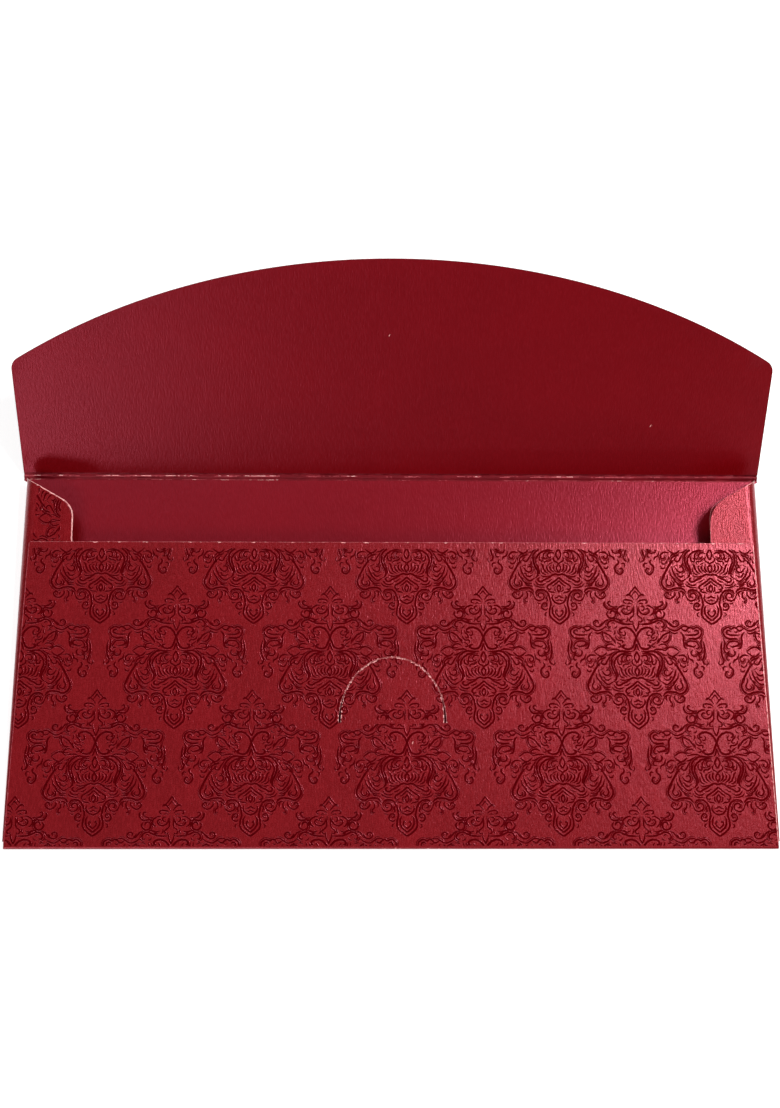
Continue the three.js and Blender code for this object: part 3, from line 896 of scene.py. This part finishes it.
def smooth_line(points):
    """Points along a smooth curve through the given ones, closer together where it bends."""
    fine = []
    for i in range(len(points) - 1):
        before = points[max(0, i - 1)]
        start, end = points[i], points[i + 1]
        after = points[min(len(points) - 1, i + 2)]
        steps = max(2, math.ceil(math.dist(start, end) / STROKE_STEP))
        for k in range(steps):
            t = k / steps
            weights = (
                -0.5 * t + t * t - 0.5 * t**3,
                1 - 2.5 * t * t + 1.5 * t**3,
                0.5 * t + 2 * t * t - 1.5 * t**3,
                -0.5 * t * t + 0.5 * t**3,
            )
            corners = (before, start, end, after)
            fine.append(tuple(sum(w * c[axis] for w, c in zip(weights, corners)) for axis in (0, 1)))
    fine.append(points[-1])
    kept = [fine[0]]
    turned = 0.0
    for before, here, after in zip(fine, fine[1:], fine[2:]):
        heading = math.atan2(here[1] - before[1], here[0] - before[0])
        next_heading = math.atan2(after[1] - here[1], after[0] - here[0])
        turned += abs(math.remainder(next_heading - heading, math.tau))
        if turned > STROKE_TURN or math.dist(kept[-1], here) > STROKE_REACH:
            kept.append(here)
            turned = 0.0
    kept.append(fine[-1])
    return kept


def tapered(width, points):
    """(x, y, width) points: the stroke narrows at its ends, except where it meets the mirror line."""
    lengths = [0.0]
    for start, end in zip(points, points[1:]):
        lengths.append(lengths[-1] + math.dist(start, end))
    stroke = []
    for (x, y), run in zip(points, lengths):
        from_start = 1 if points[0][0] == 0 else TIP_SHARE + run / TIP_SLOPE
        from_end = 1 if points[-1][0] == 0 else TIP_SHARE + (lengths[-1] - run) / TIP_SLOPE
        stroke.append((x, y, width * min(1, from_start, from_end)))
    return stroke


def left_of(before, after):
    """Unit vector to the left of the way from one point to another."""
    heading = Vector((after[0] - before[0], after[1] - before[1])).normalized()
    return Vector((-heading.y, heading.x))


def left_at(path, i):
    """Unit vector to the left of a path at its point i."""
    return left_of(path[max(0, i - 1)], path[min(len(path) - 1, i + 1)])


def echo(width, fine):
    """Fine line beside the middle of a long stroke, as an engraver adds it."""
    echoed = []
    first = round(len(fine) * 0.18)
    last = len(fine) - first
    for before, here, after in list(zip(fine, fine[1:], fine[2:]))[first:last]:
        aside = left_of(before, after) * (width / 2 + ECHO_GAP)
        echoed.append((here[0] + aside.x, here[1] + aside.y))
    return tapered(ECHO_WIDTH, echoed)


MOTIF = []
for width, points in HALF_MOTIF:
    fine = smooth_line(points)
    MOTIF.append(tapered(width * INK_SPREAD, fine))
    length = sum(math.dist(start, end) for start, end in zip(fine, fine[1:]))
    if length > ECHO_FROM and min(x for x, _ in fine) > 0.5:
        MOTIF.append(echo(width * INK_SPREAD, fine))
MOTIF += [[(-x, y, width) for x, y, width in stroke] for stroke in MOTIF]


def clipped(stroke, inside):
    """Runs of the stroke that lie inside, cut where it crosses the border."""
    runs = []
    run = []
    for here, after in zip(stroke, [*stroke[1:], None]):
        here_in = inside(*here[:2])
        if here_in:
            run.append(here)
        if after is None or inside(*after[:2]) == here_in:
            continue
        low, high = 0.0, 1.0
        for _ in range(12):
            middle = (low + high) / 2
            place = [a + (b - a) * middle for a, b in zip(here, after)]
            if inside(*place[:2]) == here_in:
                low = middle
            else:
                high = middle
        run.append(tuple(place))
        if here_in:
            runs.append(run)
            run = []
    runs.append(run)
    return [run for run in runs if len(run) > 1 and math.dist(run[0][:2], run[-1][:2]) > 0.05]


def ink_piece(name, panel, places, inside, outward=1, bud=1):
    """Raised print of the motifs at those places, kept to the part of the panel that is inside.

    Outward is 1 for the upper face and -1 for the lower one. Bud is the way a motif's bud points along y.
    """
    face = panel.top if outward > 0 else panel.top - CARD
    points = []
    faces = []
    slots = []

    def ribbon(run):
        first = len(points)
        for i, (x, y, width) in enumerate(run):
            aside = left_at(run, i)
            base = face + ripple_at(x, y, panel.wave)
            for reach, rise in (
                (width / 2 + INK_SLOPE, -INK_ROOT), (width / 2, INK_HEIGHT),
                (-width / 2, INK_HEIGHT), (-width / 2 - INK_SLOPE, -INK_ROOT),
            ):
                points.append((x + aside.x * reach, y + aside.y * reach, base + outward * rise))
        made = [(first, first + 3, first + 2, first + 1)]
        slots.append(1)
        for i in range(len(run) - 1):
            here = first + 4 * i
            there = here + 4
            for a, b, slot in ((0, 1, 1), (1, 2, 0), (2, 3, 1), (3, 0, 1)):
                made.append((here + a, here + b, there + b, there + a))
                slots.append(slot)
        last = first + 4 * (len(run) - 1)
        made.append((last, last + 1, last + 2, last + 3))
        slots.append(1)
        faces.extend(made if outward > 0 else [loop[::-1] for loop in made])

    for centre_x, centre_y in places:
        for stroke in MOTIF:
            placed = [(centre_x + x, centre_y + bud * y, width) for x, y, width in stroke]
            for run in clipped(placed, inside):
                ribbon(run)
    mesh = bpy.data.meshes.new(name)
    mesh.from_pydata(points, [], faces)
    mesh.polygons.foreach_set("material_index", slots)
    panel_piece(name, mesh, panel, (INK, PEARL), 50)


def print_places(low, high, sheet_y):
    """Middles of the motifs whose row, as a height on the sheet, lies between low and high."""
    places = []
    for row in range(-8, 9):
        y = PRINT_ROW + row * PRINT_PITCH_Y
        if not low < y < high:
            continue
        offset = PRINT_COLUMN + (PRINT_PITCH_X / 2 if row % 2 else 0)
        places.extend((offset + PRINT_PITCH_X * k, sheet_y(y)) for k in range(-4, 4))
    return places


def in_tongue(x, y, margin):
    """Whether a point lies in the half-moon, grown by a margin."""
    across = x / (TONGUE_WIDTH / 2 + margin)
    up = (y - TONGUE_FOOT) / (TONGUE_HEIGHT + margin)
    return y > TONGUE_FOOT - margin and across**2 + up**2 < 1


def in_pocket(x, y):
    """Whether a point lies on the pocket's printed front, off the tongue."""
    side = WIDTH / 2 - FOOT_INSET - (MOUTH_INSET - FOOT_INSET) * y / POCKET_HEIGHT
    below_mouth = PRINT_MARGIN < y < POCKET_HEIGHT - 1.6
    return abs(x) < side - PRINT_MARGIN and below_mouth and not in_tongue(x, y, 0.2)


def on_pocket(y):
    """Height on the pocket's tilted plane of a height above the bottom fold."""
    return (y - bottom_fold_y) / math.cos(pocket_tilt)


def by_thirds(name, panel, places, inside, **options):
    """The print of a whole panel as three pieces side by side."""
    borders = (-PRINT_EDGE, -THIRD_X, THIRD_X, PRINT_EDGE)
    for third, low, high in zip(("left", "middle", "right"), borders, borders[1:]):
        near = [place for place in places if low - MOTIF_REACH < place[0] < high + MOTIF_REACH]

        def in_third(x, y, low=low, high=high):
            return low < x <= high and inside(x, y)

        ink_piece(f"{name}_{third}", panel, near, in_third, **options)


def in_back(x, y):
    """Whether a point lies on the printed back, off its folds."""
    beside_fold = abs(x) < fold_centre_x(y) - PRINT_MARGIN
    return beside_fold and bottom_fold_y + 0.4 < y < BODY_HEIGHT - 0.8


shoulder_x = WIDTH / 2 - FLAP_TAPER
arch_rise = FLAP_LENGTH - FLAP_SIDE
arch_radius = (shoulder_x**2 + arch_rise**2) / (2 * arch_rise)


def in_flap(x, y):
    """Whether a point lies on the flap's printed rear, inside its outline."""
    side = WIDTH / 2 - FLAP_TAPER * y / FLAP_SIDE
    below_arch = math.hypot(x, y - FLAP_LENGTH + arch_radius) < arch_radius - 0.6
    return 0.8 < y and abs(x) < side - 0.6 and below_arch


def in_tab(x, y):
    """Whether a point lies on a tab's face above the pocket's mouth, off its slanted end."""
    outer_x = fold_centre_x(panel_fold_top)
    cut = on_pocket(panel_fold_top) - (outer_x - abs(x)) * TAB_END_SLOPE
    across = WIDTH / 2 - TAB_WIDTH + 0.9 < abs(x) < fold_centre_x(y) - PRINT_MARGIN
    return across and POCKET_HEIGHT - 3 < y < cut - 0.7


pocket_places = print_places(-30, 90, on_pocket)
tongue_places = [place for place in pocket_places if abs(place[0]) < 35 and 5 < place[1] < 60]
by_thirds("pocket_ink", POCKET, pocket_places, in_pocket)
ink_piece(
    "tongue_ink", TONGUE, tongue_places, lambda x, y: in_tongue(x, y, -0.25) and y > TONGUE_FOOT + 0.75
)
back_places = print_places(-105, 15, lambda y: -y)
by_thirds("back_ink", BACK, back_places, in_back, outward=-1, bud=-1)
flap_foot = BODY_HEIGHT + spine_width
flap_places = print_places(-flap_foot - 75, -flap_foot + 15, lambda y: -y - flap_foot)
by_thirds("flap_ink", FLAP, flap_places, in_flap, outward=-1, bud=-1)
tab_places = [(-WIDTH - x, on_pocket(y)) for x, y in back_places]
left_tab_places = [place for place in tab_places if -110 < place[0] < -60 and 50 < place[1]]
ink_piece("tab_ink_left", TAB, left_tab_places, lambda x, y: x < -79.5 and in_tab(x, y), bud=-1)


# Worn cut edges and flecks


def worn_edge(name, panel, path, width, seed, share, material, pace=1.0):
    """Frayed fibre along a cut edge, over a share of it. A higher pace makes its breaks shorter.

    The path has the card on its left hand.
    """
    rings = []
    run = 0.0
    for i, (x, y) in enumerate(path):
        if i:
            run += math.dist(path[i - 1], path[i])
        inward = left_at(path, i)
        rough = noise.noise(Vector((run * 0.9 * pace, seed, 0)))
        rough += 0.6 * noise.noise(Vector((run * 3.1 * pace, seed, 5)))
        presence = ramp_up((rough - (0.9 - 1.6 * share)) / 0.35)
        reach = 0.014 + width * presence * (0.7 + 0.5 * rough)
        lift = 0.002 + 0.032 * presence * max(0, noise.noise(Vector((run * 2.3 * pace, seed, 9))))
        top = panel.top + ripple_at(x, y, panel.wave)
        ring = []
        for along, height in (
            (reach, -0.004), (reach * 0.6, lift + 0.006), (0.01, lift), (-0.012, -0.03),
            (-0.012, 0.03 - CARD), (0.05, 0.03 - CARD),
        ):
            ring.append((x + inward.x * along, y + inward.y * along, top + height))
        rings.append(ring)
    panel_piece(name, ring_mesh(name, rings), panel, (material,), 60)


def line_path(corners, step=0.35):
    """Points along straight lines between corners."""
    path = [corners[0]]
    for start, end in zip(corners, corners[1:]):
        count = max(1, round(math.dist(start, end) / step))
        for k in range(1, count + 1):
            path.append(tuple(a + (b - a) * k / count for a, b in zip(start, end)))
    return path


def arc_path(x, y, radius_x, radius_y, start, end, step=0.35):
    """Points along an arc of an ellipse, between angles in degrees."""
    length = math.radians(abs(end - start)) * max(radius_x, radius_y)
    count = max(4, round(length / step))
    path = []
    for k in range(count + 1):
        angle = math.radians(start + (end - start) * k / count)
        path.append((x + radius_x * math.cos(angle), y + radius_y * math.sin(angle)))
    return path


def fleck(name, panel, x, y, size, seed):
    """Slanted speck of bare fibre with a ragged outline, seated in the panel's upper face."""
    corners = 9
    outline = []
    for k in range(corners):
        angle = math.tau * k / corners
        reach = size / 2 * (1 + 0.7 * noise.noise(Vector((math.cos(angle), math.sin(angle), seed))))
        across = 0.5 * math.cos(angle) + 0.5 * math.sin(angle)
        outline.append((x + reach * across, y + 1.4 * reach * math.sin(angle)))
    points = [(*place, panel.top + rise) for rise in (0.02, -0.03) for place in outline]
    faces = [tuple(range(corners)), tuple(range(2 * corners - 1, corners - 1, -1))]
    for k in range(corners):
        after = (k + 1) % corners
        faces.append((k, corners + k, corners + after, after))
    mesh = bpy.data.meshes.new(name)
    mesh.from_pydata(points, [], faces)
    panel_piece(name, mesh, panel, (CORE,), 50)


foot_x = WIDTH / 2 - FOOT_INSET
mouth_x = WIDTH / 2 - MOUTH_INSET
mouth_end_x = mouth_x - MOUTH_CORNER / 2
mouth_path = line_path([(mouth_end_x, POCKET_HEIGHT), (-mouth_end_x, POCKET_HEIGHT)])
NICKED_MOUTH = POCKET._replace(top=pocket_face + 0.004)
worn_edge("mouth_wear", POCKET, mouth_path, 0.13, 2.2, 0.9, SCUFFED)
worn_edge("mouth_nicks", NICKED_MOUTH, mouth_path, 0.2, 8.3, 0.42, CORE)
for side_name, side, edge in (("left", -1, SCUFFED), ("right", 1, CORE)):
    path = line_path([(side * foot_x, 0.6), (side * mouth_x, POCKET_HEIGHT - 0.4)])
    if side < 0:
        path.reverse()
    worn_edge(f"pocket_side_wear_{side_name}", POCKET, path, 0.2, 6.1 * side, 0.85, edge, 1.6)

SLIT_HALF = 0.06
SLIT_STEP = 0.14
slit_outer = arc_path(
    0, TONGUE_FOOT, TONGUE_WIDTH / 2 + SLIT_HALF, TONGUE_HEIGHT + SLIT_HALF, 180, 0, SLIT_STEP
)
slit_inner = arc_path(
    0, TONGUE_FOOT, TONGUE_WIDTH / 2 - SLIT_HALF, TONGUE_HEIGHT - SLIT_HALF, 0, 180, SLIT_STEP
)
slit_inner = [(drawn_in_tongue(x, y), max(y, TONGUE_FOOT + SEAM_GAP)) for x, y in slit_inner]
worn_edge("slit_wear_pocket", POCKET, slit_outer, 0.22, 14.0, 0.54, CORE, 2.4)
worn_edge("slit_wear_tongue", TONGUE, slit_inner, 0.25, 17.5, 0.6, CORE, 2.1)

tab_inner_x = WIDTH / 2 - TAB_WIDTH
tab_outer_x = fold_centre_x(panel_fold_top) - SEAM_GAP
tab_top_y = on_pocket(panel_fold_top)
tab_corner_y = tab_top_y - (tab_outer_x - tab_inner_x) * TAB_END_SLOPE
slant = math.degrees(math.atan(TAB_END_SLOPE))
corner_reach = TAB_CORNER * math.tan(math.radians(90 - slant) / 2)


def tab_edge(side):
    """Tab's visible edge, from the crease down its slanted end, round the corner and into the pocket."""
    middle_x = tab_inner_x + TAB_CORNER
    middle_y = tab_corner_y - corner_reach
    corner = arc_path(middle_x, middle_y, TAB_CORNER, TAB_CORNER, 90 + slant, 180)
    path = [
        *line_path([(tab_outer_x, tab_top_y), corner[0]]),
        *corner[1:],
        *line_path([corner[-1], (tab_inner_x, POCKET_HEIGHT - 6)])[1:],
    ]
    path = [(side * x, y) for x, y in path]
    return path if side > 0 else path[::-1]


# The left tab's edge gets a wider, unbroken pale line than the right's: pale fibre of real wear, with a
# painted highlight where light catches the left edge.
for side_name, side, width, share in (("left", -1, 0.36, 1.0), ("right", 1, 0.1, 0.4)):
    worn_edge(f"tab_wear_and_highlight_{side_name}", TAB, tab_edge(side), width, 21 * side, share, CORE)

fleck("flap_fleck_1", FLAP, -1, 38, 0.4, 1)
fleck("flap_fleck_2", FLAP, 62, 14.2, 0.45, 2)
fleck("pocket_fleck_1", POCKET, 4.7, 23.9, 0.42, 3)
fleck("tab_fleck_1", TAB, -83.8, 79.5, 0.4, 4)


# Stage, light and camera


def combine(tree, operation, first, second):
    """Two numbers combined by a Math node."""
    made = tree.nodes.new("ShaderNodeMath")
    made.operation = operation
    tree.links.new(first, made.inputs[0])
    tree.links.new(second, made.inputs[1])
    return made.outputs["Value"]


def seen_share(tree, rays):
    """1 for the camera's rays and those kinds of ray, otherwise 0."""
    path = add_node(tree, "LightPath")
    share = path.outputs["Is Camera Ray"]
    for ray in rays:
        share = combine(tree, "MAXIMUM", share, path.outputs[ray])
    return share


FLOOR_DROP = 0.15 * MM
FLOOR_COLOUR = (0.86, 0.86, 0.86, 1)
WHITE_FROM = 0.25  # metres from the middle at which the floor starts to run out to white
WHITE_AT = 1.1  # and where it is white


def add_floor():
    """Pale floor that keeps the envelope's shadow and runs out to white."""
    bm = bmesh.new()
    bmesh.ops.create_grid(bm, x_segments=1, y_segments=1, size=4)
    mesh = bpy.data.meshes.new("floor")
    bm.to_mesh(mesh)
    bm.free()
    floor = bpy.data.objects.new("floor", mesh)
    floor.location.z = -FLOOR_DROP
    bpy.context.scene.collection.objects.link(floor)
    material = bpy.data.materials.new("floor")
    material.use_nodes = True
    tree = material.node_tree
    tree.nodes.clear()
    reach = add_node(tree, "VectorMath", Vector=add_node(tree, "TexCoord").outputs["Object"])
    reach.operation = "LENGTH"
    rise = add_node(
        tree, "MapRange", Value=reach.outputs["Value"], From_Min=WHITE_FROM, From_Max=WHITE_AT,
        To_Min=0.5, To_Max=1,
    )
    seen = seen_share(tree, ("Is Glossy Ray", "Is Transmission Ray"))
    level = combine(tree, "MULTIPLY", rise.outputs["Result"], seen)
    both = tree.nodes.new("ShaderNodeAddShader")
    paper = add_node(tree, "BsdfDiffuse", Color=FLOOR_COLOUR)
    glow = add_node(tree, "Emission", Strength=level)
    tree.links.new(paper.outputs["BSDF"], both.inputs[0])
    tree.links.new(glow.outputs["Emission"], both.inputs[1])
    add_node(tree, "OutputMaterial", Surface=both.outputs["Shader"])
    mesh.materials.append(material)


def add_world(level):
    """Even light from all round, which the camera sees as white."""
    world = bpy.data.worlds.new("world")
    bpy.context.scene.world = world
    world.use_nodes = True
    tree = world.node_tree
    seen = seen_share(tree, ("Is Transmission Ray",))
    strength = add_node(tree, "MapRange", Value=seen, To_Min=level, To_Max=1)
    background = tree.nodes["Background"]
    set_inputs(tree, background, Color=(1, 1, 1, 1), Strength=strength.outputs["Result"])


def add_softbox(name, place, size, watts):
    """Rectangular area lamp at a place in metres, turned towards the envelope."""
    light = bpy.data.lights.new(name, "AREA")
    light.shape = "RECTANGLE"
    light.size, light.size_y = size
    light.energy = watts
    lamp = bpy.data.objects.new(name, light)
    lamp.location = place
    lamp.rotation_mode = "QUATERNION"
    lamp.rotation_quaternion = (-Vector(place)).to_track_quat("-Z", "Y")
    bpy.context.scene.collection.objects.link(lamp)


def add_camera():
    """Camera at the photograph's place, which looks down past the pocket at the raised flap."""
    turn = Matrix.Rotation(CAMERA_ROLL, 3, "Z") @ Matrix.Rotation(CAMERA_YAW, 3, "Y")
    turn = turn @ Matrix.Rotation(CAMERA_PITCH, 3, "X")
    to_world = turn.transposed()
    place = to_world @ (Vector((0, 0, CAMERA_DISTANCE)) - CAMERA_SHIFT) * MM
    data = bpy.data.cameras.new("camera")
    data.sensor_width = SENSOR
    data.lens = FOCAL_PIXELS / PHOTO_HEIGHT * SENSOR
    data.clip_start = 0.01
    camera = bpy.data.objects.new("camera", data)
    camera.matrix_world = Matrix.Translation(place) @ to_world.to_4x4()
    bpy.context.scene.collection.objects.link(camera)
    bpy.context.scene.camera = camera


add_floor()
add_world(0.16)
add_softbox("key_light", (0.33, 0.11, 0.5), (0.16, 0.17), 3.0)
add_softbox("top_light", (-0.4, 0.9, 1.3), (0.9, 0.9), 4.8)
add_softbox("fill_light", (-0.5, -1.0, 1.25), (0.8, 0.6), 10)
add_softbox("low_light", (-0.6, -1.3, 0.24), (0.4, 0.3), 2.0)
add_camera()
bpy.context.scene.view_settings.view_transform = "Standard"
